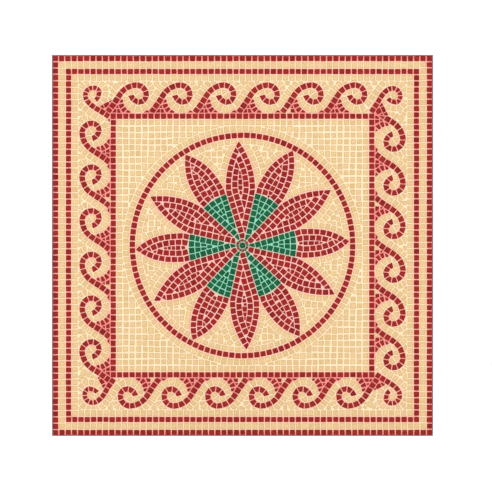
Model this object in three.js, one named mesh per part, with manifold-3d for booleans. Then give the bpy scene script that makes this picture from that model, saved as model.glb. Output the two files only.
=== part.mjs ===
// A square marble mosaic panel: a running-wave border round a square field with a circle and a rosette.
// Millimetres. The panel stands upright and faces -Y, with its centre at the origin and its back at y = 0.
// Outlines are drawn anticlockwise as seen from the front, x to the right and y up, and depth is measured
// from the back.
import * as THREE from 'three';
import { mergeVertices } from 'three/addons/utils/BufferGeometryUtils.js';
import Module from 'manifold-3d';

const wasm = await Module();
wasm.setup();

// Layers, from the back to the face
const boardThickness = 10;
const bedThickness = 2;
const stoneDepth = 8;

// Metal edging
const edgingThickness = 1.6;
const edgingClearance = 0.45;
const edgingSetBack = 1;

// Stones and joints
const stoneWidth = 9.5;
const stoneLength = 9.1;
const joint = 2.7;

// Border
const wavesPerSide = 6;
const stonesPerWave = 7;
const crestClearance = 3.35;
const borderRows = ['inner_red_row', 'cream_row', 'outer_red_row'];

// Running wave, as shares of one wave's length: x from where the wave starts, y up from its red line
const fullWave = {
  stemFoot: [0.021, 0.188],
  stemHandle: 0.238,
  stemSlope: 52,
  curlHandle: 0.33,
  curlCentre: [0.575, 0.435],
  curlRadius: 0.228,
  tipRadius: 0.115,
  curlStart: 98,
  tightensFrom: -30,
  curlEnd: -146,
  tipTaper: 0.8,
};
const cornerWave = {
  stemFoot: [0.051, 0.199],
  stemHandle: 0.097,
  stemSlope: 52,
  curlHandle: 0.183,
  curlCentre: [0.433, 0.403],
  curlRadius: 0.185,
  tipRadius: 0.119,
  curlStart: 109,
  tightensFrom: -49,
  curlEnd: -138,
  tipTaper: 0.75,
};
const foot = { reach: 0.222, bend: 0.2 };
const trough = { centre: [0.584, 0.337], radius: 0.325, from: 160, to: 260 };
const cornerWeb = [[0.205, -0.036], [0.339, -0.075], [0.251, 0.105], [0.177, 0.224]];

// Circle and rosette
const circleMargin = 26.4;
const circleWidth = 9.8;
const petalPairs = 6;
const rosetteTurn = 2;
const redPetal = { tipClearance: 6.5, straight: 10.6, halfWidth: 27.3, fullness: 2, setBack: 0 };
const greenPetal = { tipClearance: 1.2, straight: 6.2, halfWidth: 26.9, fullness: 2.7, setBack: joint };
const petalPointWidth = 1.2;
const centreStoneRadius = 5.7;

// Smoothness of the outlines
const stemSteps = 3;
const curlSteps = 8;
const troughSteps = 3;
const footSteps = 2;
const petalSteps = 5;
const baseSteps = 4;
const circleSteps = 60;
const gapSteps = 5;
const centreStoneSides = 10;

// Places that follow from the sizes above
const bedDepth = boardThickness + bedThickness;
const faceDepth = bedDepth + stoneDepth;
const waveLength = stonesPerWave * (stoneLength + joint);
const waveHeight = (fullWave.curlCentre[1] + fullWave.curlRadius) * waveLength + stoneWidth / 2;
const lineOuter = (wavesPerSide * waveLength + joint) / 2;
const squareHalf = lineOuter - stoneWidth;
const waveFieldOuter = lineOuter + waveHeight + crestClearance + stoneWidth;
const rowsOuter = waveFieldOuter + borderRows.length * (joint + stoneWidth);
const boardHalf = rowsOuter + edgingClearance;
const panelHalf = boardHalf + edgingThickness;
const circleOuter = squareHalf - circleMargin;
const circleInner = circleOuter - circleWidth;
const sectorHalf = Math.PI / (2 * petalPairs);
const sideNames = ['top', 'left', 'bottom', 'right'];
const cornerNames = ['top_right', 'top_left', 'bottom_left', 'bottom_right'];

// Materials
const marble = (color) => new THREE.MeshStandardMaterial({ color, roughness: 0.5, metalness: 0 });
const redMarble = () => marble(0xa5282c);
const creamMarble = () => marble(0xf2d094);
const greenMarble = () => marble(0x196e41);
const mortar = () => new THREE.MeshStandardMaterial({ color: 0xf4e6c8, roughness: 0.9, metalness: 0 });
const fibreCement = () => new THREE.MeshStandardMaterial({ color: 0xa8a69e, roughness: 0.9, metalness: 0 });
const greyMetal = () => new THREE.MeshStandardMaterial({ color: 0x8a8a8c, roughness: 0.45, metalness: 0.8 });

// Outlines

const centre = new THREE.Vector2(0, 0);
const point = (x, y) => new THREE.Vector2(x, y);
const scaled = ([x, y], length) => point(x * length, y * length);
const radians = THREE.MathUtils.degToRad;

function arc(middle, radius, from, to, steps) {
  return Array.from({ length: steps + 1 }, (_, i) => {
    const angle = from + (to - from) * i / steps;
    return point(middle.x + radius * Math.cos(angle), middle.y + radius * Math.sin(angle));
  });
}

const polygon = (radius, sides) => arc(centre, radius, 0, 2 * Math.PI, sides).slice(0, sides);

function rectangle(left, bottom, right, top) {
  return [point(left, bottom), point(right, bottom), point(right, top), point(left, top)];
}

const square = (half) => rectangle(-half, -half, half, half);

function moved(outline, x, y) {
  return outline.map((p) => point(p.x + x, p.y + y));
}

function turned(outline, angle) {
  return outline.map((p) => p.clone().rotateAround(centre, angle));
}

// Quarter turns only swap and negate, so turned pieces still meet exactly
function quarterTurned(outline, quarters) {
  return outline.map(({ x, y }) => [point(x, y), point(-y, x), point(-x, -y), point(y, -x)][quarters]);
}

// Moves every edge outwards by a margin, with mitred corners
function widened(outline, margin) {
  return outline.map((p, i) => {
    const before = outline.at(i - 1);
    const after = outline[(i + 1) % outline.length];
    const normalIn = point(p.y - before.y, before.x - p.x).normalize();
    const normalOut = point(after.y - p.y, p.x - after.x).normalize();
    const mitre = normalIn.clone().add(normalOut).divideScalar(1 + normalIn.dot(normalOut));
    return p.clone().addScaledVector(mitre, margin);
  });
}

// Slabs and booleans

// Stands the drawing plane upright, so that depth from the back runs towards -Y
const upright = new THREE.Matrix4().set(1, 0, 0, 0, 0, 0, -1, 0, 0, 1, 0, 0, 0, 0, 0, 1);

function slab(outline, fromDepth, toDepth, hole) {
  const shape = new THREE.Shape(outline);
  if (hole) {
    shape.holes.push(new THREE.Path(hole));
  }
  const geometry = new THREE.ExtrudeGeometry(shape, { depth: toDepth - fromDepth, bevelEnabled: false });
  geometry.translate(0, 0, fromDepth);
  return geometry.applyMatrix4(upright);
}

const stonePlate = (outline, hole) => slab(outline, bedDepth, faceDepth, hole);

function solidOf(geometry) {
  const bare = geometry.clone();
  bare.deleteAttribute('normal');
  bare.deleteAttribute('uv');
  const merged = mergeVertices(bare);
  return new wasm.Manifold(new wasm.Mesh({
    numProp: 3,
    vertProperties: new Float32Array(merged.attributes.position.array),
    triVerts: new Uint32Array(merged.index.array),
  }));
}

function geometryOf(solid) {
  const mesh = solid.getMesh();
  const shared = new THREE.BufferGeometry();
  shared.setAttribute('position', new THREE.BufferAttribute(mesh.vertProperties, 3));
  shared.setIndex(new THREE.BufferAttribute(mesh.triVerts, 1));
  const faceted = shared.toNonIndexed();
  faceted.computeVertexNormals();
  return faceted;
}

function joined(geometries) {
  return geometryOf(geometries.map(solidOf).reduce((whole, piece) => whole.add(piece)));
}

function cut(geometry, tools) {
  return geometryOf(tools.map(solidOf).reduce((rest, tool) => rest.subtract(tool), solidOf(geometry)));
}

// Board, bed, edging and straight rows

const boardGeometry = () => slab(square(boardHalf), 0, boardThickness);
const bedGeometry = () => slab(square(boardHalf), boardThickness, bedDepth);

function edgingGeometry(quarters) {
  const mitred = [
    point(boardHalf, boardHalf),
    point(panelHalf, panelHalf),
    point(-panelHalf, panelHalf),
    point(-boardHalf, boardHalf),
  ];
  return slab(quarterTurned(mitred, quarters), edgingSetBack, faceDepth);
}

// Each side's row starts with a corner stone and stops one joint short of the next side's row
function rowGeometry(outer, quarters) {
  const inner = outer - stoneWidth;
  return stonePlate(quarterTurned(rectangle(-outer, inner, inner - joint, outer), quarters));
}

// Running wave

function curlPoint(form, angle) {
  const tightening = Math.max(0, form.tightensFrom - angle) / (form.tightensFrom - form.curlEnd);
  const radius = (form.curlRadius + (form.tipRadius - form.curlRadius) * tightening) * waveLength;
  const direction = [Math.cos(radians(angle)), Math.sin(radians(angle))];
  return scaled(form.curlCentre, waveLength).add(scaled(direction, radius));
}

// The middle of a wave's row of stones, from the foot of its stem round to the tip of its curl
function waveCentreline(form) {
  const start = scaled(form.stemFoot, waveLength);
  const rise = radians(form.stemSlope);
  const end = curlPoint(form, form.curlStart);
  const arrival = radians(form.curlStart);
  const stem = new THREE.CubicBezierCurve(
    start,
    scaled([Math.cos(rise), Math.sin(rise)], form.stemHandle * waveLength).add(start),
    scaled([-Math.sin(arrival), Math.cos(arrival)], form.curlHandle * waveLength).add(end),
    end,
  );
  const curl = Array.from({ length: curlSteps }, (_, i) => (
    curlPoint(form, form.curlStart + (form.curlEnd - form.curlStart) * (i + 1) / curlSteps)
  ));
  return [...stem.getPoints(stemSteps), ...curl];
}

// A wave's row of stones: along its inner side from foot to tip, and back along its outer side
function waveBand(form) {
  const line = waveCentreline(form);
  const last = line.length - 1;
  const inner = [];
  const outer = [];
  line.forEach((p, i) => {
    const along = line[Math.min(i + 1, last)].clone().sub(line[Math.max(i - 1, 0)]).normalize();
    const taper = 1 - (1 - form.tipTaper) * Math.max(0, i - stemSteps) / curlSteps;
    const aside = point(-along.y, along.x).multiplyScalar(stoneWidth * taper / 2);
    outer.unshift(p.clone().add(aside));
    inner.push(p.clone().sub(aside));
  });
  return [...inner, ...outer];
}

// The left flank of a stem, from its outer side down to the thin end of its foot
function footFlank(form) {
  const stemSide = waveBand(form).at(-1);
  const slope = radians(form.stemSlope);
  const bend = scaled([-Math.cos(slope), -Math.sin(slope)], foot.bend * waveLength).add(stemSide);
  const thinEnd = point(-foot.reach * waveLength, 0);
  return new THREE.QuadraticBezierCurve(stemSide, bend, thinEnd).getPoints(footSteps);
}

// The red ground under a full wave's stem, hollowed on the right by the trough under its curl
function waveGround() {
  const middle = scaled(trough.centre, waveLength);
  const radius = trough.radius * waveLength;
  const hollow = arc(middle, radius, radians(trough.to), radians(trough.from), troughSteps);
  return [
    point(0, -stoneWidth / 2),
    point(hollow[0].x, -stoneWidth / 2),
    ...hollow,
    waveCentreline(fullWave)[1],
    ...footFlank(fullWave),
  ];
}

// The red ground under a corner wave's stem, webbed to the first stem of the next side
function cornerGround() {
  return [
    point(0, -stoneWidth / 2),
    ...cornerWeb.map((share) => scaled(share, waveLength)),
    waveCentreline(cornerWave)[1],
    ...footFlank(cornerWave),
  ];
}

// The outlines of every wave: six full ones along each side, then a smaller one round the corner
function waveOutlines() {
  const start = joint / 2 - lineOuter;
  const full = Array.from({ length: wavesPerSide }, (_, i) => start + i * waveLength)
    .flatMap((x) => [waveBand(fullWave), waveGround()].map((outline) => moved(outline, x, lineOuter)));
  const corner = [waveBand(cornerWave), cornerGround()]
    .map((outline) => moved(outline, start + wavesPerSide * waveLength, lineOuter));
  const side = [...full, ...corner];
  return sideNames.flatMap((_, quarters) => side.map((outline) => quarterTurned(outline, quarters)));
}

function runningWaveGeometry() {
  const line = stonePlate(square(lineOuter), square(squareHalf));
  return joined([line, ...waveOutlines().map((outline) => stonePlate(outline))]);
}

function waveFieldGeometry() {
  const field = stonePlate(square(waveFieldOuter), square(lineOuter + joint));
  return cut(field, waveOutlines().map((outline) => stonePlate(widened(outline, joint))));
}

// Circle and the fields in the square's corners

function circleGeometry() {
  return stonePlate(polygon(circleOuter, circleSteps), polygon(circleInner, circleSteps));
}

function cornerFieldGeometry(quarters) {
  const side = squareHalf - joint;
  const reach = circleOuter + joint;
  const start = Math.asin(joint / 2 / reach);
  const quarterArc = arc(centre, reach, Math.PI / 2 - start, start, circleSteps / 4);
  const outline = [point(side, joint / 2), point(side, side), point(joint / 2, side), ...quarterArc];
  return stonePlate(quarterTurned(outline, quarters));
}

// Rosette: each petal is drawn pointing up, then turned to its place

// The distance from the rosette's centre at which a petal's wedge has this half width
function petalWedgeRadius(petal, halfWidth) {
  return (halfWidth + petal.setBack / Math.cos(sectorHalf)) / Math.tan(sectorHalf);
}

function petalStart(petal) {
  return Math.max(centreStoneRadius + joint, petalWedgeRadius(petal, petalPointWidth / 2));
}

const petalWidest = (petal) => petalWedgeRadius(petal, petal.halfWidth);
const petalShoulder = (petal) => petalWidest(petal) + petal.straight;
const petalTip = (petal) => circleInner - petal.tipClearance;

// A petal's flanks keep to its wedge, then run straight to its shoulder and arch to its tip
function petalHalfWidth(petal, radius) {
  const wedge = radius * Math.tan(sectorHalf) - petal.setBack / Math.cos(sectorHalf);
  const rise = Math.max(0, radius - petalShoulder(petal)) / (petalTip(petal) - petalShoulder(petal));
  return Math.min(wedge, petal.halfWidth * (1 - rise ** petal.fullness));
}

// The right flank from the widest place up to the tip
function petalArch(petal) {
  const shoulder = petalShoulder(petal);
  const tip = petalTip(petal);
  const radii = Array.from({ length: petalSteps }, (_, i) => shoulder + (tip - shoulder) * i / petalSteps);
  const flank = [petalWidest(petal), ...radii].map((radius) => point(petalHalfWidth(petal, radius), radius));
  return [...flank, point(0, tip)];
}

const mirrored = (outline) => outline.map(({ x, y }) => point(-x, y)).reverse();

function petalFoot(petal) {
  const radius = petalStart(petal);
  return point(petalHalfWidth(petal, radius), radius);
}

function wholePetal(petal) {
  const right = [petalFoot(petal), ...petalArch(petal)];
  return [...right, ...mirrored(right.slice(0, -1))];
}

// An arc about the rosette's centre across a petal's wedge, from its right flank to its left
function arcAcross(petal, radius) {
  const reach = sectorHalf - Math.asin(petal.setBack / radius);
  return arc(centre, radius, Math.PI / 2 - reach, Math.PI / 2 + reach, baseSteps);
}

// The green base stops one stone below the petal's widest place, and the red tip is a joint above it
const greenBaseReach = petalWidest(greenPetal) - stoneWidth;

function greenBase() {
  const footRight = petalFoot(greenPetal);
  return [footRight, ...arcAcross(greenPetal, greenBaseReach), point(-footRight.x, footRight.y)];
}

function greenPetalTip() {
  const arch = petalArch(greenPetal);
  const base = arcAcross(greenPetal, greenBaseReach + joint);
  return [...arch, ...mirrored(arch.slice(0, -1)), ...base.reverse()];
}

const petalAngle = (index) => radians(rosetteTurn) + index * 2 * sectorHalf;

// The field between a red petal and the green-based one on its left, or the mirror image on its right
function petalGapGeometry(index) {
  const from = petalAngle(index) + Math.PI / 2;
  const to = from + 2 * sectorHalf;
  const start = Math.min(petalWidest(redPetal), petalWidest(greenPetal));
  const inner = arc(centre, start, to, from, baseSteps);
  const outer = arc(centre, circleInner - joint, from, to, gapSteps);
  const [first, second] = index % 2 ? [greenPetal, redPetal] : [redPetal, greenPetal];
  return cut(stonePlate([...outer, ...inner]), [
    stonePlate(turned(widened(wholePetal(first), joint), petalAngle(index))),
    stonePlate(turned(widened(wholePetal(second), joint), petalAngle(index + 1))),
  ]);
}

// The panel

const panel = new THREE.Group();

function add(name, geometry, material) {
  const mesh = new THREE.Mesh(geometry, material);
  mesh.name = name;
  panel.add(mesh);
}

add('backing_board', boardGeometry(), fibreCement());
add('setting_bed', bedGeometry(), mortar());
sideNames.forEach((side, quarters) => {
  add(`edging_${side}`, edgingGeometry(quarters), greyMetal());
  borderRows.forEach((row, i) => {
    const outer = waveFieldOuter + (i + 1) * (joint + stoneWidth);
    const material = row.includes('red') ? redMarble() : creamMarble();
    add(`${row}_${side}`, rowGeometry(outer, quarters), material);
  });
});
add('wave_field', waveFieldGeometry(), creamMarble());
add('running_wave', runningWaveGeometry(), redMarble());
cornerNames.forEach((corner, quarters) => {
  add(`corner_field_${corner}`, cornerFieldGeometry(quarters), creamMarble());
});
add('circle_line', circleGeometry(), redMarble());
for (let i = 0; i < 2 * petalPairs; i += 1) {
  const pair = Math.floor(i / 2) + 1;
  add(`petal_gap_${i + 1}`, petalGapGeometry(i), creamMarble());
  if (i % 2) {
    add(`green_petal_tip_${pair}`, stonePlate(turned(greenPetalTip(), petalAngle(i))), redMarble());
    add(`green_petal_base_${pair}`, stonePlate(turned(greenBase(), petalAngle(i))), greenMarble());
  } else {
    add(`red_petal_${pair}`, stonePlate(turned(wholePetal(redPetal), petalAngle(i))), redMarble());
  }
}
add('centre_stone', stonePlate(polygon(centreStoneRadius, centreStoneSides)), greenMarble());

export default panel;
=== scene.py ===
# The looks of a square marble mosaic panel: its stones, the grout between them, the edging and the board.
#
# Outlines are drawn in millimetres as seen from the front, x to the right and y up, with the panel's centre
# at the origin. Depth is measured from the back of the board towards the face, which looks along -Y. Each
# stone is a convex outline that is cut back by a joint from the stones laid before it. Where a void is left
# beside a stone, the stone may then grow until only a joint is left.
import math
import random

import bmesh
import bpy
from mathutils import Matrix, Vector
from mathutils.geometry import interpolate_bezier
from mathutils.kdtree import KDTree


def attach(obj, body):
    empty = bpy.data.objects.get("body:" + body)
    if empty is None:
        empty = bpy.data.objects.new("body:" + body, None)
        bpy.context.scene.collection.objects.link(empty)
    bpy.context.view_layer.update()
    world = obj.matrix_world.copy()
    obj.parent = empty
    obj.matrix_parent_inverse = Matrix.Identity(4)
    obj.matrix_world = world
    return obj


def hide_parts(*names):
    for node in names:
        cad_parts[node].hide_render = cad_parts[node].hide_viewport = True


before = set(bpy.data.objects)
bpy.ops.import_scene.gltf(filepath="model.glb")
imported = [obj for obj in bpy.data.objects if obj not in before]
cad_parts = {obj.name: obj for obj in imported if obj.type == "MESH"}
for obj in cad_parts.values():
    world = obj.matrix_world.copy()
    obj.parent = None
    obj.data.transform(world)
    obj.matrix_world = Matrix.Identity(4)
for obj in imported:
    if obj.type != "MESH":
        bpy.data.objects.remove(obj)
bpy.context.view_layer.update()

chance = random.Random(61)

MM = 0.001
UP = math.pi / 2

# Depths of the layers, from the back to the face
BOARD_DEPTH = 10
STONE_BACK_DEPTH = 13
GROUT_DEPTH = 19.45
HIGHEST = 19.99
FACE_DEPTH = 20

# Stones and joints
STONE_WIDTH = 9.5
STONE_LENGTH = 9.1
JOINT = 2.7
PITCH = STONE_LENGTH + JOINT
ROW_PITCH = STONE_WIDTH + JOINT

# Border
WAVES_PER_SIDE = 6
WAVE_LENGTH = 7 * PITCH
LINE_OUTER = (WAVES_PER_SIDE * WAVE_LENGTH + JOINT) / 2
SQUARE_HALF = LINE_OUTER - STONE_WIDTH
WAVE_FIELD_OUTER = 321.5
BOARD_HALF = 358.55
PANEL_HALF = 360.15
SIDES = ("top", "left", "bottom", "right")
CORNERS = ("top_right", "top_left", "bottom_left", "bottom_right")

# Running wave, in shares of one wave's length: x from where the wave starts, y up from its red line. Angles
# are in degrees, a wave's width in millimetres, and its stones' lengths in shares of one round the curl.
FULL_WAVE = {
    "stem_foot": (0.021, 0.188), "stem_handle": 0.238, "curl_handle": 0.33,
    "curl_centre": (0.575, 0.435), "curl_radius": 0.228, "tip_radius": 0.134,
    "curl_start": 98, "tightens": (-30, -119), "curl_end": -173, "tip_taper": 1, "width": 10.1,
    "lengths": (1.15,) * 5 + (1,) * 8,
}
CORNER_WAVE = {
    "stem_foot": (0.051, 0.199), "stem_handle": 0.097, "curl_handle": 0.183,
    "curl_centre": (0.433, 0.403), "curl_radius": 0.185, "tip_radius": 0.125,
    "curl_start": 109, "tightens": (-49, -90), "curl_end": -150, "tip_taper": 0.85, "width": 9.4,
    "lengths": (1.4,) * 4 + (1,) * 6 + (1.25,) * 2,
}
STEM_SLOPE = 52
STEM_POINTS = 16
CURL_STEPS = 40
WAVE_TOE = ((-0.27, 0.027), (-0.09, 0.027), (-0.16, 0.1))
WAVE_WEB = ((-0.02, 0.03), (0.27, 0.03), (0.22, 0.2), (0.16, 0.28))
CORNER_WEB = ((0.01, -0.03), (0.341, -0.041), (0.166, 0.302))
CORNER_HEEL = ((-0.191, 0.021), (-0.104, 0.021), (-0.093, 0.09))
CORNER_WEB_PLACES = ((0.11, 0.06), (0.235, 0.1), (0.2, 0.19), (0.29, 0.02))
CORNER_WEB_TURN = 0.3
TROUGH_CENTRE = (0.584, 0.337)
TROUGH_RADIUS = 0.325
TROUGH_END = 1.4 * math.pi

# More of the wave, in millimetres: how far it lies inside its line, its joint, and the joints of the foot
# before its stem. Then the red stones between a trough and a stem: the joints along the trough's edge, and
# the place, width and height of each stone under the stem.
WAVE_INWARD = 0.4
WAVE_JOINT = 2.2
WAVE_FOOT = (20.6, 10.6, 0)
CORNER_WEB_STONE = (10, 10)
TROUGH_JOINTS = (0, 8.6, 17.2, 25.8, 36.5)
UNDER_STEM = ((3.2, 4.7, 11, 8), (13.5, 4.7, 9, 8), (12.4, 16.4, 10, 10))

# Middles of the cream stones beside a wave, in shares of its length: under its crest and along the next
# wave's stem, then over its shoulder
CREAM_BY_WAVE = (
    (0.644, 0.410), (0.572, 0.496), (0.458, 0.496), (0.336, 0.446), (0.322, 0.346),
    (0.379, 0.224), (0.472, 0.145), (0.615, 0.102), (0.751, 0.138), (0.887, 0.253),
    (0.966, 0.367), (1.043, 0.482), (1.126, 0.589), (1.207, 0.682),
)
CREAM_OVER_WAVE = ((0.758, 0.722), (0.866, 0.682), (0.916, 0.596), (0.930, 0.482))
CREAM_BY_WAVE_WIDTH = STONE_WIDTH + 0.8
CORNER_CREAM_PITCH = 10.6

# Circle, and the cream rows on both sides of it
CIRCLE_OUTER = 213.25
CIRCLE_INNER = 203.45
CIRCLE_PITCH = 11.9
INNER_RING_WIDTH = 8.2
INNER_RING_PITCH = 12.6
RING_START = 0.3

# Rosette
PETAL_PAIRS = 6
PETALS = 2 * PETAL_PAIRS
ROSETTE_TURN = math.radians(2)
SECTOR_HALF = math.pi / PETALS
RED_PETAL = {"tip": 196.95, "straight": 10.6, "half_width": 27.3, "fullness": 2, "set_back": 0}
GREEN_PETAL = {"tip": 202.25, "straight": 6.2, "half_width": 26.9, "fullness": 2.7, "set_back": JOINT}
GREEN_BASE = {**GREEN_PETAL, "set_back": 1.9}
CENTRE_STONE_RADIUS = 5.7
CENTRE_STONE_SIDES = 10
RING_RADIUS = 9.4
RING_JOINT = 1.1
RING_STONE = 4.6
FOOT = 12.5
PETAL_JOINT = 2.3
PETAL_PITCH = 12.2
PETAL_EXCESS = 0.1
BLUNT_TIP = 0.5
OUTLINE_STEP = 7
BASE_BEND = 55
ROW_ALONG_PETAL = 0.55

# Inside of a green base, under its top row: half the distance between the two stones of a line, and the
# width of each
BASE_LINES = ((5.1, 8), (3.9, 5.6), (0, 6))
BASE_LINE_HEIGHT = 9
BASE_LINE_PITCH = 11.2
BASE_LINE_START = 4.6

# The grid of the other fields, which wanders a little
FIELD_HALF = SQUARE_HALF - JOINT
GRID_STONE = 8.5
GRID_WANDER = 0.8
WANDER_LENGTHS = (23, 27)
GRID_FROM = 118
GAPS_FROM = 105
NEAR_CIRCLE = 238


# Outlines of stones

def area(outline):
    return sum(a.cross(b) for a, b in zip(outline, outline[1:] + outline[:1])) / 2


def perimeter(outline):
    return sum((a - b).length for a, b in zip(outline, outline[1:] + outline[:1]))


def middle(outline):
    return sum(outline, Vector((0, 0))) / len(outline)


def turned(point, angle):
    return Matrix.Rotation(angle, 2) @ point


def beyond_line(outline, start, outward, margin):
    """Keeps what lies at least a margin beyond a line."""
    heights = [(p - start).dot(outward) - margin for p in outline]
    kept = []
    for i, p in enumerate(outline):
        before, above = heights[i - 1], heights[i]
        if (before < 0) != (above < 0):
            kept.append(outline[i - 1].lerp(p, before / (before - above)))
        if above >= 0:
            kept.append(p)
    return kept


def edges_of(outline):
    """Each edge's start and its direction outwards, for an outline that runs anticlockwise."""
    for a, b in zip(outline, outline[1:] + outline[:1]):
        along = (b - a).normalized()
        yield a, Vector((along.y, -along.x))


# How stones are cut: the least edge, corner and breadth of one, then the share of a joint below which it is
# cut back and the share to which it is cut
SHORTEST_EDGE = 1.5
SHARPEST_CORNER = math.radians(50)
SLIMMEST = 1.2
TIGHTEST = 0.62
CUT_BACK = 0.85

# How a stone grows: by which steps, to which area, and how square its edges and how flat its corners may be
GROWTH = (2.4, 1.6, 0.8)
LARGEST = 118
LEAST_OPENING = 0.3
FLATTEST = 0.03

# How voids are filled: how closely they are looked for, the least one beyond a joint, how far inside an
# outline a piece's middle lies, then the joints of the pieces and their size
SEARCH_STEP = 2.5
SMALLEST_VOID = 0.8
INSIDE = 1
FILL_JOINTS = (2.2, 1.8)
PIECE_EXCESS = 4
LARGEST_PIECE = STONE_LENGTH + 1

# How unevenly stones are laid
ROW_WANDER = 0.35
ROW_SKEW = 0.025
ROW_WIDTHS = (-0.3, 0.2)
TILE_SHIFT = 0.35
TILE_TILT = 0.03
TILE_SIZES = (-0.5, 0.4)


def worked(outline):
    """Takes the brittle points and the tiny edges off an outline, as the tile nippers do."""
    blunt = []
    for i, p in enumerate(outline):
        before, after = outline[i - 1] - p, outline[(i + 1) % len(outline)] - p
        if min(before.length, after.length) > 2 * SHORTEST_EDGE and before.angle(after) < SHARPEST_CORNER:
            blunt += [p + before.normalized() * SHORTEST_EDGE, p + after.normalized() * SHORTEST_EDGE]
        else:
            blunt.append(p)
    clean = []
    for p in blunt:
        if clean and (p - clean[-1]).length < SHORTEST_EDGE:
            clean[-1] = (p + clean[-1]) / 2
        else:
            clean.append(p)
    if len(clean) > 1 and (clean[0] - clean[-1]).length < SHORTEST_EDGE:
        clean.pop()
    return clean


class Stone:
    """A convex outline. Each edge is kept as its direction outwards and how far along that it lies."""

    def __init__(self, outline):
        self.reshape(outline)

    def reshape(self, outline):
        self.outline = outline
        self.place = middle(outline)
        self.edges = [(n.x, n.y, a.dot(n)) for a, n in edges_of(outline)]

    def clearance(self, x, y):
        """How far a point lies outside the outline, square to an edge."""
        return max(nx * x + ny * y - reach for nx, ny, reach in self.edges)

    def parted_from(self, other):
        """The widest strip between this stone and another, square to an edge of either."""
        return max(
            max(min(nx * p.x + ny * p.y for p in second.outline) - reach for nx, ny, reach in first.edges)
            for first, second in ((self, other), (other, self))
        )

    def wider(self, i, amount):
        """The stone with one edge moved outwards, or None if its neighbouring edges close in on it."""
        corners = list(self.outline)
        start, end = i, (i + 1) % len(corners)
        outward = Vector(self.edges[i][:2])
        before = (corners[start] - corners[start - 1]).normalized()
        after = (corners[end] - corners[(end + 1) % len(corners)]).normalized()
        if min(before.dot(outward), after.dot(outward)) < LEAST_OPENING:
            return None
        along = corners[end] - corners[start]
        corners[start] = corners[start] + before * (amount / before.dot(outward))
        corners[end] = corners[end] + after * (amount / after.dot(outward))
        if (corners[end] - corners[start]).dot(along) < along.length * SHORTEST_EDGE:
            return None
        return Stone(corners)

    def reaching(self, i, amount):
        """The stone with one corner moved outwards, or None if that would hollow it beside the corner."""
        corners = list(self.outline)
        corners[i] = corners[i] + (corners[i] - self.place).normalized() * amount
        sides = [(b - a).normalized() for a, b in zip(corners, corners[1:] + corners[:1])]
        if min(a.cross(b) for a, b in zip(sides, sides[1:] + sides[:1])) < FLATTEST:
            return None
        return Stone(corners)


class Layout:
    """The stones laid so far, by field, with the ones near any place found quickly."""

    CELL = 18

    def __init__(self):
        self.fields = {}
        self.cells = {}

    def cell_of(self, place):
        return math.floor(place[0] / self.CELL), math.floor(place[1] / self.CELL)

    def near(self, place):
        column, line = self.cell_of(place)
        return [
            stone
            for x in (column - 1, column, column + 1)
            for y in (line - 1, line, line + 1)
            for stone in self.cells.get((x, y), ())
        ]

    def lay(self, field, outline, within=(), joint=JOINT):
        """Lays a stone in a field, inside a convex outline and cut back by a joint from its neighbours."""
        for a, outward in edges_of(within) if within else ():
            outline = beyond_line(outline, a, -outward, 0)
            if len(outline) < 3:
                return
        for other in self.near(middle(outline)):
            if Stone(outline).parted_from(other) > TIGHTEST * joint:
                continue
            cuts = [beyond_line(outline, a, n, CUT_BACK * joint) for a, n in edges_of(other.outline)]
            outline = max(cuts, key=lambda cut: area(cut) if len(cut) > 2 else 0)
            if len(outline) < 3:
                return
        outline = worked(outline)
        if len(outline) < 3 or 2 * area(outline) / perimeter(outline) < SLIMMEST:
            return
        stone = Stone(outline)
        self.cells.setdefault(self.cell_of(stone.place), []).append(stone)
        self.fields.setdefault(field(stone.place) if callable(field) else field, []).append(stone)

    def room(self, x, y):
        """How far a place is from the nearest stone, and the way that stone's edge faces."""
        return min(
            ((stone.clearance(x, y), max((nx * x + ny * y - reach, nx, ny) for nx, ny, reach in stone.edges))
             for stone in self.near((x, y))),
            default=(self.CELL, (0, 0, 1)),
        )

    def fill(self, field, low, high, wanted, within=(), joint=FILL_JOINTS[0]):
        """Fills what is left between two corners of a box with pieces cut to fit, the widest voids first."""
        least = joint + SMALLEST_VOID
        columns, lines = (
            range(math.floor(a / SEARCH_STEP), math.ceil(b / SEARCH_STEP)) for a, b in zip(low, high)
        )
        spots = [(x * SEARCH_STEP, y * SEARCH_STEP) for x in columns for y in lines]
        voids = [(-self.room(x, y)[0], x, y) for x, y in spots if wanted(x, y)]
        for void, x, y in sorted(void for void in voids if -void[0] > least):
            clearance, (_, nx, ny) = self.room(x, y)
            if clearance > least:
                size = min(LARGEST_PIECE, 2 * (clearance - joint) + PIECE_EXCESS)
                tile(field, Vector((x, y)), math.atan2(ny, nx), size, size, within, joint)

    def close_up(self, stones, joint=JOINT, bounds=None):
        """Lets stones grow into the voids beside them until only a joint is left."""
        for stone in stones:
            beside = [other for other in self.near(stone.place) if other is not stone]
            for i in range(len(stone.outline)):
                for grown in (stone.wider, stone.reaching):
                    for amount in GROWTH:
                        larger = grown(i, amount)
                        if (larger and area(larger.outline) < LARGEST and (not bounds or bounds(larger))
                                and all(larger.parted_from(other) > CUT_BACK * joint for other in beside)):
                            stone.reshape(larger.outline)
                            break


layout = Layout()


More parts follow.
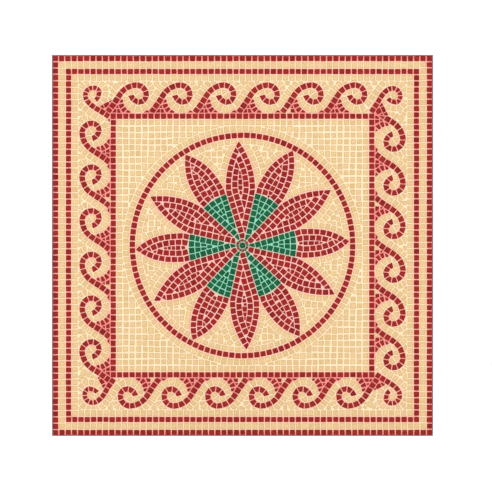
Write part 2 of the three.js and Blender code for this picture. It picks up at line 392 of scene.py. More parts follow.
class Path:
    """A line that a row of stones follows."""

    def __init__(self, points):
        self.points = [Vector(p) for p in points]
        self.distances = [0]
        for a, b in zip(self.points, self.points[1:]):
            self.distances.append(self.distances[-1] + (b - a).length)
        self.length = self.distances[-1]

    def point(self, distance):
        """The place at a distance along the line, which runs on straight past its ends."""
        last = len(self.points) - 2
        i = next((i for i in range(last) if self.distances[i + 1] > distance), last)
        step = self.distances[i + 1] - self.distances[i]
        return self.points[i].lerp(self.points[i + 1], (distance - self.distances[i]) / step)

    def direction(self, distance, reach=2):
        return (self.point(distance + reach) - self.point(distance - reach)).normalized()

    def left(self, distance):
        along = self.direction(distance)
        return Vector((-along.y, along.x))

    def beside(self, aside, step=3):
        """The line that runs beside this one, to its left where aside is more than 0."""
        count = max(2, round(self.length / step))
        places = [self.length * i / count for i in range(count + 1)]
        return Path([self.point(d) + self.left(d) * aside for d in places])

    def moved(self, x, y, angle=0):
        return Path([turned(p + Vector((x, y)), angle) for p in self.points])

    def mirrored(self):
        return Path([Vector((-p.x, p.y)) for p in self.points])


def row(field, path, joints, width=STONE_WIDTH, unevenness=1.0, taper=1.0, within=(), joint=JOINT):
    """Lays a row of stones along a path, between the joints whose distances along it are given."""
    wander = ROW_WANDER * unevenness
    joints = [d + chance.uniform(-wander, wander) * (0 < i < len(joints) - 1) for i, d in enumerate(joints)]
    crossings = []
    for d in joints:
        along, left = path.direction(d), path.left(d)
        skew = chance.uniform(-ROW_SKEW, ROW_SKEW) * unevenness
        crossings.append((path.point(d), along, left + along * skew))
    for i, (first, second) in enumerate(zip(crossings, crossings[1:])):
        start, from_along, from_left = first
        end, to_along, to_left = second
        a = start + from_along * joint / 2
        b = end - to_along * joint / 2
        half = width / 2 * (1 + (taper - 1) * i / len(joints))
        inner, outer = (half + chance.uniform(*ROW_WIDTHS) * unevenness for _ in range(2))
        outline = [a - from_left * inner, b - to_left * inner, b + to_left * outer, a + from_left * outer]
        layout.lay(field, outline, within, joint)


def even_joints(start, end, pitch):
    """Joints from start to end, at about the pitch. There is half a joint outside each end."""
    count = max(1, round((end - start + JOINT) / pitch))
    step = (end - start + JOINT) / count
    return [start - JOINT / 2 + step * i for i in range(count + 1)]


def arc(radius, start, end, centre=(0, 0), step=math.radians(2)):
    count = max(4, round(abs(end - start) / step))
    angles = [start + (end - start) * i / count for i in range(count + 1)]
    return [Vector((centre[0] + radius * math.cos(a), centre[1] + radius * math.sin(a))) for a in angles]


def tile(field, place, angle, width=STONE_LENGTH, height=STONE_LENGTH, within=(), joint=JOINT):
    """Lays one roughly square stone."""
    tilt = angle + chance.uniform(-TILE_TILT, TILE_TILT)
    shift = Vector([chance.uniform(-TILE_SHIFT, TILE_SHIFT) for _ in range(2)])
    half = Vector([side + chance.uniform(*TILE_SIZES) for side in (width, height)]) / 2
    corners = [Vector((x * half.x, y * half.y)) for x, y in ((-1, -1), (1, -1), (1, 1), (-1, 1))]
    layout.lay(field, [place + shift + turned(c, tilt) for c in corners], within, joint)


# Straight rows: each side's row starts with its corner stone and stops one joint short of the next side's row

def straight_row(name, outer, quarters):
    path = Path([(-outer, outer - STONE_WIDTH / 2), (outer, outer - STONE_WIDTH / 2)])
    inner = outer - STONE_WIDTH
    row(name, path.moved(0, 0, quarters * UP), even_joints(0, outer + inner - JOINT, PITCH), unevenness=1.2)


for quarters, side in enumerate(SIDES):
    straight_row("running_wave", LINE_OUTER, quarters)
    straight_row("wave_field", WAVE_FIELD_OUTER, quarters)
    straight_row(f"inner_red_row_{side}", WAVE_FIELD_OUTER + ROW_PITCH, quarters)
    straight_row(f"cream_row_{side}", WAVE_FIELD_OUTER + 2 * ROW_PITCH, quarters)
    straight_row(f"outer_red_row_{side}", WAVE_FIELD_OUTER + 3 * ROW_PITCH, quarters)


# Running wave

def share(point):
    return Vector(point) * WAVE_LENGTH


def curl_point(form, degrees):
    first, last = form["tightens"]
    tightening = min(1, max(0, (first - degrees) / (first - last)))
    radius = form["curl_radius"] + (form["tip_radius"] - form["curl_radius"]) * tightening
    angle = math.radians(degrees)
    return share(form["curl_centre"]) + share((radius * math.cos(angle), radius * math.sin(angle)))


def wave_path(form):
    """The middle of a wave's row of stones, from the foot of its stem round to the tip of its curl."""
    rise, arrival = math.radians(STEM_SLOPE), math.radians(form["curl_start"])
    start, end = share(form["stem_foot"]), curl_point(form, form["curl_start"])
    leave = start + share((math.cos(rise), math.sin(rise))) * form["stem_handle"]
    arrive = end + share((-math.sin(arrival), math.cos(arrival))) * form["curl_handle"]
    stem = interpolate_bezier(*(p.to_3d() for p in (start, leave, arrive, end)), STEM_POINTS)
    turn = form["curl_end"] - form["curl_start"]
    curl = [curl_point(form, form["curl_start"] + turn * (i + 1) / CURL_STEPS) for i in range(CURL_STEPS)]
    return Path([p.to_2d() for p in stem] + curl)


def wave(form, x, quarters):
    """A wave: its row of stones, which are shorter round the curl, and the foot that leads up to it."""
    angle = quarters * UP
    path = wave_path(form).beside(-WAVE_INWARD, 2).moved(x, LINE_OUTER, angle)
    lengths = form["lengths"]
    unit = (path.length + (PITCH + WAVE_JOINT) / 2) / sum(lengths)
    joints = [-PITCH / 2 + unit * sum(lengths[:i]) for i in range(len(lengths) + 1)]
    foot = [joints[0] - before for before in WAVE_FOOT]
    for stops, taper in ((joints, form["tip_taper"]), (foot, 1)):
        row("running_wave", path, stops, form["width"], 0.8, taper, joint=WAVE_JOINT)


def fill_inside(field, outline, joint=FILL_JOINTS[0]):
    """Fills the voids inside a convex outline, and gives the outline back as a shape."""
    shape = Stone(outline)
    low = [min(p[i] for p in outline) for i in (0, 1)]
    high = [max(p[i] for p in outline) for i in (0, 1)]
    layout.fill(field, low, high, lambda x, y: shape.clearance(x, y) < -INSIDE, outline, joint)
    return shape


def wave_ground(x, quarters):
    """The red stones under a stem: a row along the trough's edge, and pieces between it and the stem."""
    angle = quarters * UP
    start = Vector((x, LINE_OUTER))
    radius = TROUGH_RADIUS * WAVE_LENGTH + STONE_WIDTH / 2
    edge = Path(arc(radius, math.pi, TROUGH_END, share(TROUGH_CENTRE)))
    row("running_wave", edge.moved(x, LINE_OUTER, angle), TROUGH_JOINTS, unevenness=0.7)
    for across, up, width, height in UNDER_STEM:
        tile("running_wave", turned(Vector((x + across, LINE_OUTER + up)), angle), angle, width, height)
    fill_inside("running_wave", [turned(start + share(p), angle) for p in WAVE_WEB])
    layout.lay("running_wave", [turned(start + share(p), angle) for p in WAVE_TOE], (), WAVE_JOINT)


def corner_web(quarters):
    """The red pieces between a corner wave and the first wave of the next side, and the one at its heel."""
    start = Vector((CORNER_START, LINE_OUTER))
    web = [turned(start + share(p), quarters * UP) for p in CORNER_WEB]
    for p in CORNER_WEB_PLACES:
        place = turned(start + share(p), quarters * UP)
        tile("running_wave", place, (quarters + CORNER_WEB_TURN) * UP, *CORNER_WEB_STONE, web, WAVE_JOINT)
    fill_inside("running_wave", web)
    layout.lay("running_wave", [turned(start + share(p), quarters * UP) for p in CORNER_HEEL])


WAVE_START = JOINT / 2 - LINE_OUTER
CORNER_START = WAVE_START + WAVES_PER_SIDE * WAVE_LENGTH
for quarters in range(4):
    wave(CORNER_WAVE, CORNER_START, quarters)
for quarters in range(4):
    for i in range(WAVES_PER_SIDE):
        wave(FULL_WAVE, WAVE_START + i * WAVE_LENGTH, quarters)
        wave_ground(WAVE_START + i * WAVE_LENGTH, quarters)
    corner_web(quarters)


SMOOTH_STEPS = 6


def smooth_path(middles):
    """A smooth line through the middles of a row's stones, and its joints halfway between them."""
    points = [Vector(p) for p in middles]
    padded = [2 * points[0] - points[1], *points, 2 * points[-1] - points[-2]]
    line = []
    for a, b, c, d in zip(padded, padded[1:], padded[2:], padded[3:]):
        for step in range(SMOOTH_STEPS):
            t = step / SMOOTH_STEPS
            line.append(0.5 * (2 * b + (c - a) * t + (2 * a - 5 * b + 4 * c - d) * t * t
                               + (3 * b - a - 3 * c + d) * t ** 3))
    line.append(points[-1])
    path = Path(line)
    stops = [path.distances[SMOOTH_STEPS * i] for i in range(len(points))]
    joints = [(a + b) / 2 for a, b in zip(stops, stops[1:])]
    return path, [stops[0] - joints[0], *joints, 2 * stops[-1] - joints[-1]]


for quarters in range(4):
    for i in range(WAVES_PER_SIDE):
        for middles, width in ((CREAM_BY_WAVE, CREAM_BY_WAVE_WIDTH), (CREAM_OVER_WAVE, STONE_WIDTH)):
            path, joints = smooth_path([share(p) for p in middles])
            placed = path.moved(WAVE_START + i * WAVE_LENGTH, LINE_OUTER, quarters * UP)
            row("wave_field", placed, joints, width, unevenness=0.8)
    corner = wave_path(CORNER_WAVE).moved(CORNER_START, LINE_OUTER, quarters * UP)
    for aside in (ROW_PITCH, -ROW_PITCH):
        path = corner.beside(aside)
        row("wave_field", path, even_joints(0, path.length, CORNER_CREAM_PITCH))

for joint in FILL_JOINTS:
    layout.fill("wave_field", (-WAVE_FIELD_OUTER, -WAVE_FIELD_OUTER), (WAVE_FIELD_OUTER, WAVE_FIELD_OUTER),
                lambda x, y: LINE_OUTER < max(abs(x), abs(y)) < WAVE_FIELD_OUTER, joint=joint)
    layout.close_up(layout.fields["wave_field"])


# Circle line and the rows on both sides of it

def ring(field, radius, width, pitch):
    """Lays a round row, and then the stone that closes it."""
    count = round(math.tau * radius / pitch)
    path = Path(arc(radius, 0, math.tau, step=math.radians(1)))
    joints = [path.length * (i + RING_START) / count for i in range(count)]
    row(field, path, joints, width)
    last = Path(arc(radius, joints[-1] / radius, joints[0] / radius + math.tau, step=math.radians(1)))
    row(field, last, [0, last.length], width, 0)


def quadrant(place):
    """The corner field that a place outside the circle belongs to."""
    if place.y > 0:
        return "corner_field_top_right" if place.x > 0 else "corner_field_top_left"
    return "corner_field_bottom_left" if place.x < 0 else "corner_field_bottom_right"


def sector(place):
    """The gap between petals that a place in the circle belongs to."""
    angle = (math.atan2(-place.x, place.y) - ROSETTE_TURN) % math.tau
    return f"petal_gap_{int(angle // (2 * SECTOR_HALF)) + 1}"


ring("circle_line", (CIRCLE_OUTER + CIRCLE_INNER) / 2, CIRCLE_OUTER - CIRCLE_INNER, CIRCLE_PITCH)


# Rosette: each petal is drawn pointing up, then turned to its place

def wedge_radius(petal):
    """How far from the centre a petal's wedge reaches its full half width."""
    return (petal["half_width"] + petal["set_back"] / math.cos(SECTOR_HALF)) / math.tan(SECTOR_HALF)


def half_width(petal, radius):
    """Half a petal's width at a distance from the centre: a wedge, a straight part and a rounded tip."""
    shoulder = wedge_radius(petal) + petal["straight"]
    wedge = radius * math.tan(SECTOR_HALF) - petal["set_back"] / math.cos(SECTOR_HALF)
    rise = max(0, radius - shoulder) / (petal["tip"] - shoulder)
    return min(wedge, petal["half_width"] * (1 - rise ** petal["fullness"]))


def flank(petal, foot, step=3):
    """A petal's right side, from its tip down to its foot."""
    count = round((petal["tip"] - foot) / step)
    radii = [petal["tip"] + (foot - petal["tip"]) * i / count for i in range(count + 1)]
    return Path([(half_width(petal, radius), radius) for radius in radii])


GREEN_TOP = wedge_radius(GREEN_PETAL) - STONE_WIDTH
TIP_FOOT = (GREEN_TOP + PETAL_JOINT) * math.cos(SECTOR_HALF)


def petal_outline(petal, turn, foot, top=None):
    """The outline of a petal above its foot, or of its lower part up to a top."""
    below = [p for p in flank(petal, foot, OUTLINE_STEP).points[1:] if not top or p.y < top]
    start = Vector((half_width(petal, top), top) if top else (BLUNT_TIP, petal["tip"]))
    right = [start, *below]
    left = [Vector((-p.x, p.y)) for p in reversed(right)]
    return [turned(p, turn) for p in [*right, *left]][::-1]


def petal_rows(petal, name, turn, foot=FOOT):
    """A petal's two rows a side. The right rows run on to the tip, and the left rows to the foot."""
    right = flank(petal, foot)
    within = petal_outline(petal, turn, foot)
    for rank in range(2):
        aside = (rank + 0.5) * STONE_WIDTH + rank * PETAL_JOINT
        on_right = right.beside(-aside).moved(0, 0, turn)
        on_left = right.mirrored().beside(aside).moved(0, 0, turn)
        joints = even_joints(0, on_right.length, PETAL_PITCH)
        half = len(joints) // 2
        for line, stops in ((on_right, joints[:half + 1]), (on_left, joints), (on_right, joints[half:])):
            row(name, line, stops, unevenness=0.9, within=within, joint=PETAL_JOINT)
    finish_petal(name, within)


def finish_petal(name, within):
    """Fills the voids between a petal's rows, and lets its stones grow as far as the petal's edge."""
    for joint in (PETAL_JOINT, FILL_JOINTS[1]):
        shape = fill_inside(name, within, joint)
    layout.close_up(layout.fields[name], PETAL_JOINT,
                    lambda stone: all(shape.clearance(p.x, p.y) < PETAL_EXCESS for p in stone.outline))


def green_base(name, turn):
    """The green base: a row under the red tip, rows down both sides, then pairs of stones between them."""
    within = petal_outline(GREEN_BASE, turn, FOOT, GREEN_TOP)
    reach = SECTOR_HALF - math.asin(GREEN_BASE["set_back"] / GREEN_TOP)
    top = Path(arc(GREEN_TOP - STONE_WIDTH / 2, UP + reach, UP - reach)).moved(0, 0, turn)
    row(name, top, even_joints(0, top.length, PETAL_PITCH), unevenness=0.7, within=within, joint=PETAL_JOINT)
    sides = Path([(half_width(GREEN_BASE, r), r) for r in (GREEN_TOP - ROW_PITCH, BASE_BEND, FOOT)])
    for path, sign in ((sides.mirrored(), -1), (sides, 1)):
        line = path.beside(-sign * STONE_WIDTH / 2).moved(0, 0, turn)
        joints = even_joints(0, line.length, PETAL_PITCH)
        row(name, line, joints, unevenness=0.8, within=within, joint=PETAL_JOINT)
    for i, (across, width) in enumerate(BASE_LINES):
        up = GREEN_TOP - ROW_PITCH - BASE_LINE_START - BASE_LINE_PITCH * i
        for x in (-across, across):
            tile(name, turned(Vector((x, up)), turn), turn, width, BASE_LINE_HEIGHT, within, PETAL_JOINT)
    finish_petal(name, within)


petal_turns = [ROSETTE_TURN + 2 * SECTOR_HALF * i for i in range(PETALS)]


def on_petal(x, y):
    """Whether a place in the circle lies on a petal."""
    angle = (math.atan2(-x, y) - ROSETTE_TURN) % math.tau
    i = round(angle / (2 * SECTOR_HALF)) % PETALS
    place = turned(Vector((x, y)), -petal_turns[i])
    return abs(place.x) < half_width(GREEN_PETAL if i % 2 else RED_PETAL, place.y)


layout.lay("centre_stone", arc(CENTRE_STONE_RADIUS, 0, math.tau, step=math.tau / CENTRE_STONE_SIDES)[:-1])
for i, turn in enumerate(petal_turns):
    pair = i // 2 + 1
    name = f"green_petal_base_{pair}" if i % 2 else f"red_petal_{pair}"
    tile(name, turned(Vector((0, RING_RADIUS)), turn), turn, RING_STONE, RING_STONE, (), RING_JOINT)
for i, turn in enumerate(petal_turns):
    pair = i // 2 + 1
    if i % 2:
        green_base(f"green_petal_base_{pair}", turn)
        petal_rows(GREEN_PETAL, f"green_petal_tip_{pair}", turn, TIP_FOOT)
    else:
        petal_rows(RED_PETAL, f"red_petal_{pair}", turn)

# The rows of the circle, then the rows beside the petals
ring(quadrant, CIRCLE_OUTER + JOINT + STONE_WIDTH / 2, STONE_WIDTH, CIRCLE_PITCH)
ring(sector, CIRCLE_INNER - JOINT - INNER_RING_WIDTH / 2, INNER_RING_WIDTH, INNER_RING_PITCH)
for i, turn in enumerate(petal_turns):
    petal = GREEN_PETAL if i % 2 else RED_PETAL
    right = flank(petal, FOOT)
    rows_on_right = 1 if i % 2 else 2
    for rank in range(rows_on_right):
        aside = (rank + 0.5) * STONE_WIDTH + (rank + 1) * JOINT
        line = right.beside(aside).moved(0, 0, turn)
        row(sector, line, even_joints(0, line.length * ROW_ALONG_PETAL, CIRCLE_PITCH))
    line = right.mirrored().beside(-JOINT - STONE_WIDTH / 2).moved(0, 0, turn)
    row(sector, line, even_joints(0, line.length * ROW_ALONG_PETAL, CIRCLE_PITCH))


# The rest of the circle, and the fields in the square's corners

def grid():
    """Lays the grid. Its outer stones are in line with the square, and the others wander."""
    count = round((2 * FIELD_HALF + JOINT) / PITCH)
    pitch = (2 * FIELD_HALF + JOINT) / count
    for i in range(count):
        for k in range(count):
            x, y = (-FIELD_HALF + STONE_LENGTH / 2 + pitch * n for n in (i, k))
            wander = GRID_WANDER * min(1, i, k, count - 1 - i, count - 1 - k)
            aside = wander * math.sin(y / WANDER_LENGTHS[0] + i)
            up = wander * math.sin(x / WANDER_LENGTHS[1] + k)
            radius = math.hypot(x, y)
            if radius > CIRCLE_OUTER + JOINT:
                tile(quadrant, Vector((x + aside, y + up)), 0, GRID_STONE, GRID_STONE)
            elif GRID_FROM < radius < CIRCLE_INNER - ROW_PITCH:
                tile(sector, Vector((x + aside, y + up)), 0, GRID_STONE, GRID_STONE)


def in_gap(x, y):
    """Whether a place in the circle is in a gap between petals that cut cream pieces fill."""
    return GAPS_FROM < math.hypot(x, y) < CIRCLE_INNER - JOINT and not on_petal(x, y)


grid()
layout.fill(quadrant, (-FIELD_HALF, -FIELD_HALF), (FIELD_HALF, FIELD_HALF),
            lambda x, y: math.hypot(x, y) > CIRCLE_OUTER + STONE_WIDTH)
for joint in FILL_JOINTS:
    layout.fill(sector, (-CIRCLE_INNER, -CIRCLE_INNER), (CIRCLE_INNER, CIRCLE_INNER), in_gap, joint=joint)
    for i in range(PETALS):
        layout.close_up(layout.fields[f"petal_gap_{i + 1}"])
for corner in CORNERS:
    layout.close_up([s for s in layout.fields[f"corner_field_{corner}"] if s.place.length < NEAR_CIRCLE])


# Shader maths

class Shade:
    """A socket of a material. Its operators add Math nodes, and its other methods add the rest."""

    def __init__(self, tree, socket):
        self.tree = tree
        self.socket = socket

    def feed(self, socket, value):
        """Links a Shade to a socket of a node, or sets the socket to a plain value."""
        if isinstance(value, Shade):
            self.tree.links.new(value.socket, socket)
        else:
            socket.default_value = value

    def node(self, kind, settings=None, inputs=None, output=0):
        """Adds a node of a kind: its settings are set first, then the values or links of its sockets."""
        made = self.tree.nodes.new(kind)
        for name, value in (settings or {}).items():
            setattr(made, name, value)
        for name, value in (inputs or {}).items():
            self.feed(made.inputs[name], value)
        return Shade(self.tree, made.outputs[output])

    def kept(self, name):
        """A number that the mesh keeps under a name."""
        return self.node("ShaderNodeAttribute", {"attribute_name": name}, None, 2)

    def place(self):
        """The place on the piece, in metres."""
        return self.node("ShaderNodeTexCoord", None, None, 3)

    def noise(self, place, scale, detail, distortion=0.0):
        """Smooth noise: the scale is in waves a metre."""
        inputs = {"Vector": place, "Scale": scale, "Detail": detail, "Distortion": distortion}
        return self.node("ShaderNodeTexNoise", None, inputs)

    def _math(self, operation, first, second):
        return self.node("ShaderNodeMath", {"operation": operation}, {0: first, 1: second})

    def __add__(self, other):
        return self._math("ADD", self, other)

    def __mul__(self, other):
        return self._math("MULTIPLY", self, other)

    def __sub__(self, other):
        return self._math("SUBTRACT", self, other)

    def __rsub__(self, other):
        return self._math("SUBTRACT", other, self)

    __radd__ = __add__
    __rmul__ = __mul__

    def between(self, low, high):
        """Runs from 0 to 1 while the value runs from low to high."""
        return self.node("ShaderNodeMapRange", {"clamp": True}, {0: self, 1: low, 2: high, 3: 0.0, 4: 1.0})

    def mix(self, first, second):
        """Blends two colours: 0 gives the first and 1 the second."""
        return self.node("ShaderNodeMix", {"data_type": "RGBA"}, {0: self, 6: first, 7: second}, 2)


def srgb(red, green, blue):
    """A colour as it is seen, from 0 to 255, turned into light."""
    def light(value):
        value /= 255
        return value / 12.92 if value < 0.04045 else ((value + 0.055) / 1.055) ** 2.4
    return (light(red), light(green), light(blue), 1.0)


def new_material(name, gloss, metallic=0.0):
    """An empty material, its shader and a first Shade to build on."""
    material = bpy.data.materials.new(name)
    material.use_nodes = True
    shader = material.node_tree.nodes["Principled BSDF"]
    shader.inputs["Specular IOR Level"].default_value = gloss
    shader.inputs["Metallic"].default_value = metallic
    return material, shader, Shade(material.node_tree, None)


def finish_shader(start, shader, color, roughness, height, depth):
    """Feeds a material's shader its colour, its roughness and a bump of a depth in metres."""
    bump = start.node("ShaderNodeBump", None, {"Strength": 0.6, "Distance": depth, "Height": height})
    for name, value in (("Base Color", color), ("Roughness", roughness), ("Normal", bump)):
        start.feed(shader.inputs[name], value)


def marble(name, dark, light, tint, vein, rim_shade_color, vein_strength, rim_shade_strength):
    """Honed marble: each stone has its own shade and its own place in the grain, and painted shade darkens
    its rim.
    """
    material, shader, start = new_material(name, 0.12)
    tone, hue, rim = start.kept("tone"), start.kept("hue"), start.kept("rim")
    own = start.node("ShaderNodeCombineXYZ", None, {0: tone * 3.1, 1: hue * 2.3, 2: tone * hue * 5.7})
    place = start.node("ShaderNodeVectorMath", {"operation": "ADD"}, {0: start.place(), 1: own})
    cloud = start.noise(place, 210.0, 4.0)
    grain = start.noise(place, 1500.0, 3.0)
    bend = start.noise(place, 120.0, 5.0, 1.2)
    line = start.node("ShaderNodeMath", {"operation": "ABSOLUTE"}, {0: bend - 0.5})
    veins = (1 - line.between(0.0, 0.035)) * vein_strength
    shade = (tone * 0.6 + cloud * 0.5 - 0.05).between(0.0, 1.0)
    color = shade.mix(dark, light)
    color = (hue.between(0.4, 1.0) * 0.8).mix(color, tint)
    color = veins.mix(color, vein)
    # Painted shade: each stone's rounded rim is darkened towards the rim colour, where the mesh's rim layer
    # is 1.
    color = (rim * rim_shade_strength).mix(color, rim_shade_color)
    roughness = 0.36 + 0.16 * grain
    finish_shader(start, shader, color, roughness, grain * 0.5 + cloud, 0.0001)
    return material


# The fifth colour of each marble is the painted shade on its rim, and the last number is how strongly it is
# laid on.
materials = {
    "red_marble": marble("red_marble", srgb(122, 20, 20), srgb(158, 26, 26), srgb(150, 34, 22),
                         srgb(190, 96, 84), srgb(124, 20, 22), 0.2, 0.5),
    "cream_marble": marble("cream_marble", srgb(207, 176, 120), srgb(230, 199, 143), srgb(221, 183, 140),
                           srgb(244, 222, 178), srgb(196, 160, 112), 0.5, 0.8),
    "green_marble": marble("green_marble", srgb(0, 70, 38), srgb(2, 99, 57), srgb(0, 88, 58),
                           srgb(90, 150, 114), srgb(0, 68, 38), 0.25, 0.5),
}


def grout_material():
    """Pale cream grout, a little stained by the stones beside it."""
    material, shader, start = new_material("grout", 0.2)
    by_red, by_petal, by_green = start.kept("by_red"), start.kept("by_petal"), start.kept("by_green")
    place = start.place()
    sand, grit = start.noise(place, 1400.0, 3.0), start.noise(place, 2600.0, 2.0)
    patches = start.noise(place, 60.0, 2.0)
    color = (sand * 0.5 + patches * 0.5).mix(srgb(246, 219, 178), srgb(254, 233, 200))
    color = (by_red * (0.5 + 0.5 * by_red)).mix(color, srgb(240, 146, 138))
    color = by_petal.mix(color, srgb(252, 188, 178))
    color = by_green.mix(color, srgb(138, 210, 182))
    color = (grit.between(0.56, 0.7) * 0.3).mix(color, srgb(206, 172, 132))
    finish_shader(start, shader, color, 0.8 + 0.1 * sand, sand + grit, 0.0003)
    return material


def edging_material():
    """Satin anodised metal, smeared by hands and finely grained."""
    material, shader, start = new_material("edging", 0.5, 0.75)
    place = start.place()
    smear, grain = start.noise(place, 45.0, 4.0), start.noise(place, 2200.0, 2.0)
    color = smear.mix(srgb(88, 78, 80), srgb(114, 102, 105))
    finish_shader(start, shader, color, 0.38 + 0.14 * grain, grain, 0.00005)
    return material


def board_material():
    """Cloudy grey fibre cement with pale specks."""
    material, shader, start = new_material("board", 0.2)
    place = start.place()
    cloud, speck = start.noise(place, 14.0, 6.0), start.noise(place, 700.0, 2.0)
    color = cloud.mix(srgb(150, 148, 142), srgb(182, 179, 171))
    color = (speck.between(0.62, 0.7) * 0.6).mix(color, srgb(205, 202, 192))
    finish_shader(start, shader, color, 0.82 + 0.1 * speck, speck + cloud, 0.0003)
    return material


materials["grout"] = grout_material()
materials["edging"] = edging_material()
materials["board"] = board_material()


# Meshes

def spot(x, y, depth):
    return Vector((x, -depth, y)) * MM


def new_object(mesh, name, material):
    """Turns a bmesh into an object of one material."""
    data = bpy.data.meshes.new(name)
    mesh.to_mesh(data)
    mesh.free()
    data.materials.append(material)
    thing = bpy.data.objects.new(name, data)
    bpy.context.collection.objects.link(thing)
    return thing


def finished(mesh, name, slot, nodes):
    """Turns a bmesh into a piece of the panel that takes the place of the solids' nodes."""
    bmesh.ops.recalc_face_normals(mesh, faces=mesh.faces)
    piece = new_object(mesh, name, materials[slot])
    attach(piece, "root")
    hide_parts(*nodes)


def corners_in(made):
    """The corners among what a bmesh operator made."""
    return [item for item in made["geom"] if isinstance(item, bmesh.types.BMVert)]


# A stone's mesh, in millimetres: its rounded edge, its rim, across which its painted edge shade fades, the
# slimmer rim of a stone that isn't broad, and how far it spreads over the joint. Then how much it slopes,
# over which reach, how deep it lies besides, and how nearly a face looks forwards that counts as its front.
ARRIS = 0.4
RIM = 1.1
SLIM_RIM = 0.4
BROAD = 2.6
SPREAD = 0.25
SLOPE = 0.012
STONE_REACH = 6
SINK = 0.12
FACES_FRONT = 0.97


def spread(outline, margin):
    """Moves every edge outwards by a margin."""
    corners = []
    normals = [n for _, n in edges_of(outline)]
    for p, before, after in zip(outline, normals[-1:] + normals[:-1], normals):
        corners.append(p + (before + after) * (margin / (1 + before.dot(after))))
    return corners


def stones_mesh(stones):
    """The stones of one field, slightly tilted and with rounded edges, whose corners mark the rim of painted
    shade.
    """
    mesh = bmesh.new()
    number = mesh.faces.layers.int.new("number")
    tops = []
    for i, outline in enumerate(spread(stone.outline, SPREAD) for stone in stones):
        lean = Vector([chance.uniform(-SLOPE, SLOPE) for _ in range(2)])
        sink = abs(lean.x) * STONE_REACH + abs(lean.y) * STONE_REACH + chance.uniform(0, SINK)
        centre = middle(outline)
        heights = [min(FACE_DEPTH, FACE_DEPTH - sink + (p - centre).dot(lean)) for p in outline]
        tops.append([spot(p.x, p.y, height) for p, height in zip(outline, heights)])
        face = mesh.faces.new([mesh.verts.new(spot(p.x, p.y, STONE_BACK_DEPTH)) for p in outline])
        face[number] = i
    raised = bmesh.ops.extrude_face_region(mesh, geom=mesh.faces[:], use_keep_orig=True)
    for face in (f for f in raised["geom"] if isinstance(f, bmesh.types.BMFace)):
        for vertex in face.verts:
            vertex.co.y = min(tops[face[number]], key=lambda t: (t.xz - vertex.co.xz).length_squared).y
    upper = set(corners_in(raised))
    edges = [edge for edge in mesh.edges if upper.intersection(edge.verts)]
    bmesh.ops.bevel(mesh, geom=edges, offset=ARRIS * MM, offset_type="OFFSET", segments=2, profile=0.5,
                    affect="EDGES", clamp_overlap=False, material=-1)
    mesh.normal_update()
    front = -GROUT_DEPTH * MM
    flat = [f for f in mesh.faces if abs(f.normal.y) > FACES_FRONT and f.calc_center_median().y < front]
    broad = {f for f in flat if 2 * f.calc_area() > BROAD * MM * f.calc_perimeter()}
    for is_broad, thickness in ((True, RIM), (False, SLIM_RIM)):
        faces = [f for f in flat if (f in broad) == is_broad]
        bmesh.ops.inset_individual(mesh, faces=faces, thickness=thickness * MM, use_even_offset=True)
    for vertex in mesh.verts:
        vertex.co.y = max(vertex.co.y, -HIGHEST * MM)
    # The rim layer is 1 on a stone's rounded edge and sides and 0 on its flat face: the marble paints shade
    # where it is 1.
    rim = mesh.verts.layers.float.new("rim")
    for vertex in mesh.verts:
        vertex[rim] = 1
    for face in flat:
        for vertex in face.verts:
            vertex[rim] = 0
    return mesh


def shade_stones(mesh, count):
    """Gives every stone its own tone and hue, by its number, as the order of a mesh's faces isn't fixed."""
    tone, hue = (mesh.faces.layers.float.new(name) for name in ("tone", "hue"))
    number = mesh.faces.layers.int["number"]
    shades = [(chance.random(), chance.random()) for _ in range(count)]
    for face in mesh.faces:
        face[tone], face[hue] = shades[face[number]]


def slot_of(node):
    """The material slot of a field's stones."""
    if node == "centre_stone" or node.startswith("green_petal_base"):
        return "green_marble"
    if node.startswith(("cream_row", "wave_field", "corner_field", "petal_gap")):
        return "cream_marble"
    return "red_marble"


for node in sorted(layout.fields):
    mesh = stones_mesh(layout.fields[node])
    shade_stones(mesh, len(layout.fields[node]))
    finished(mesh, f"{node}_stones", slot_of(node), [node])


# The grout: its grid and how uneven it is, then how far off and how many stones stain it
GROUT_SEGMENTS = 238
GROUT_UNEVENNESS = 0.1
GROUT_MARGIN = 1
STAIN_REACH = 13
STAINING_STONES = 4


def stain(mesh):
    """Keeps on the grout's corners how much of what is near is red, green or in a petal."""
    layers = {tag: mesh.verts.layers.float.new(f"by_{tag}") for tag in ("red", "green", "petal")}
    stones = []
    for node, laid in layout.fields.items():
        color = slot_of(node).removesuffix("_marble")
        part = "petal" if "petal_" in node and "gap" not in node else "field"
        stones += [(stone.place, (color, part)) for stone in laid]
    tree = KDTree(len(stones))
    for i, (place, _) in enumerate(stones):
        tree.insert(place.to_3d(), i)
    tree.balance()
    for vertex in mesh.verts:
        near = tree.find_n(Vector((vertex.co.x, vertex.co.z, 0)) / MM, STAINING_STONES)
        weights = [max(0.0, STAIN_REACH - distance) for _, _, distance in near]
        total = sum(weights) or 1
        for tag, layer in layers.items():
            vertex[layer] = sum(w for w, (_, i, _) in zip(weights, near) if tag in stones[i][1]) / total


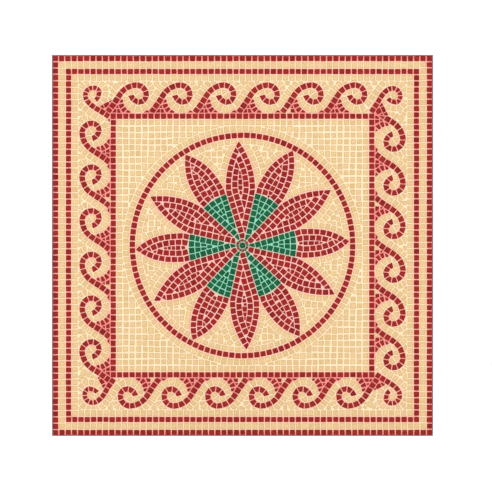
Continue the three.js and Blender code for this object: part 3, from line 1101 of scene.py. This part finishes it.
def grout():
    """The bed and the joints in one: a slab whose face is a little uneven, but for its margin."""
    mesh = bmesh.new()
    bmesh.ops.create_grid(mesh, x_segments=GROUT_SEGMENTS, y_segments=GROUT_SEGMENTS, size=BOARD_HALF * MM)
    bmesh.ops.rotate(mesh, verts=mesh.verts, matrix=Matrix.Rotation(UP, 3, "X"))
    bmesh.ops.translate(mesh, verts=mesh.verts, vec=spot(0, 0, GROUT_DEPTH))
    stain(mesh)
    for vertex in mesh.verts:
        if max(abs(vertex.co.x), abs(vertex.co.z)) < (BOARD_HALF - GROUT_MARGIN) * MM:
            vertex.co.y += chance.uniform(-GROUT_UNEVENNESS, GROUT_UNEVENNESS) * MM
    rim = [edge for edge in mesh.edges if edge.is_boundary]
    for vertex in corners_in(bmesh.ops.extrude_edge_only(mesh, edges=rim)):
        vertex.co.y = -BOARD_DEPTH * MM
    bmesh.ops.holes_fill(mesh, edges=[e for e in mesh.edges if e.is_boundary], sides=0)
    finished(mesh, "grout", "grout", ["setting_bed"])


BOARD_SEGMENTS = 24
BOARD_EASING = 0.6
SHARP = 1


def board():
    """The backing board, with its edges eased."""
    mesh = bmesh.new()
    bmesh.ops.create_grid(mesh, x_segments=BOARD_SEGMENTS, y_segments=BOARD_SEGMENTS, size=BOARD_HALF * MM)
    bmesh.ops.rotate(mesh, verts=mesh.verts, matrix=Matrix.Rotation(UP, 3, "X"))
    raised = bmesh.ops.extrude_face_region(mesh, geom=mesh.faces[:], use_keep_orig=True)
    bmesh.ops.translate(mesh, verts=corners_in(raised), vec=spot(0, 0, BOARD_DEPTH))
    mesh.normal_update()
    sharp = [edge for edge in mesh.edges if edge.calc_face_angle(0) > SHARP]
    bmesh.ops.bevel(mesh, geom=sharp, offset=BOARD_EASING * MM, offset_type="OFFSET", segments=2, profile=0.5,
                    affect="EDGES", clamp_overlap=True, material=-1)
    finished(mesh, "board", "board", ["backing_board"])


EDGING_BACK_DEPTH = 1
EDGING_EASING = 0.3


def edging(side, quarters):
    """One mitred strip of the edging."""
    mesh = bmesh.new()
    inner, outer = BOARD_HALF, PANEL_HALF
    corners = [Vector(c) for c in ((inner, inner), (outer, outer), (-outer, outer), (-inner, inner))]
    places = [turned(c, quarters * UP) for c in corners]
    face = mesh.faces.new([mesh.verts.new(spot(p.x, p.y, EDGING_BACK_DEPTH)) for p in places])
    raised = bmesh.ops.extrude_face_region(mesh, geom=[face], use_keep_orig=True)
    bmesh.ops.translate(mesh, verts=corners_in(raised), vec=spot(0, 0, HIGHEST - EDGING_BACK_DEPTH))
    long_edges = [edge for edge in mesh.edges if edge.calc_length() > BOARD_HALF * MM]
    bmesh.ops.bevel(mesh, geom=long_edges, offset=EDGING_EASING * MM, offset_type="OFFSET", segments=2,
                    profile=0.5, affect="EDGES", clamp_overlap=True, material=-1)
    finished(mesh, f"edging_strip_{side}", "edging", [f"edging_{side}"])


grout()
board()
for quarters, side in enumerate(SIDES):
    edging(side, quarters)


# Floor, light and camera

FLOOR_HALF = 12
FLOOR_HEIGHT = -0.48


def floor():
    """A plain pale floor, below the view from the front."""
    mesh = bmesh.new()
    bmesh.ops.create_grid(mesh, x_segments=1, y_segments=1, size=FLOOR_HALF)
    bmesh.ops.translate(mesh, verts=mesh.verts, vec=(0, 0, FLOOR_HEIGHT))
    material, shader, _ = new_material("floor", 0.1)
    shader.inputs["Base Color"].default_value = (0.96, 0.96, 0.96, 1)
    shader.inputs["Roughness"].default_value = 0.9
    plane = new_object(mesh, "floor", material)


def soft_light(name, place, size, power):
    """A large soft lamp that looks at the panel's centre."""
    lamp = bpy.data.lights.new(name, "AREA")
    lamp.size, lamp.energy = size, power
    holder = bpy.data.objects.new(name, lamp)
    holder.location = place
    holder.rotation_euler = (-Vector(place)).to_track_quat("-Z", "Y").to_euler()
    bpy.context.collection.objects.link(holder)


def white_world(strength):
    """Even white light from all round."""
    world = bpy.data.worlds.new("studio")
    world.use_nodes = True
    background = world.node_tree.nodes["Background"]
    background.inputs["Color"].default_value = (1, 1, 1, 1)
    background.inputs["Strength"].default_value = strength
    bpy.context.scene.world = world


# A camera far off with a long lens looks straight at the face: the width of its view, where the view's
# middle is from the panel's centre, and its distance, in metres
VIEW_WIDTH = 0.9302
VIEW_MIDDLE = (0.0066, -0.00095)
CAMERA_DISTANCE = 10


def front_camera():
    lens = bpy.data.cameras.new("camera")
    lens.lens = lens.sensor_width * CAMERA_DISTANCE / VIEW_WIDTH
    lens.clip_end = 6 * CAMERA_DISTANCE
    camera = bpy.data.objects.new("camera", lens)
    camera.location = (VIEW_MIDDLE[0], -FACE_DEPTH * MM - CAMERA_DISTANCE, VIEW_MIDDLE[1])
    camera.rotation_euler = (UP, 0, 0)
    bpy.context.collection.objects.link(camera)
    bpy.context.scene.camera = camera


floor()
white_world(1.05)
soft_light("key", (-0.8, -1.2, 3.2), 2.5, 22)
soft_light("overhead", (0, 3, 5), 4, 160)
front_camera()
bpy.context.scene.view_settings.view_transform = "Standard"
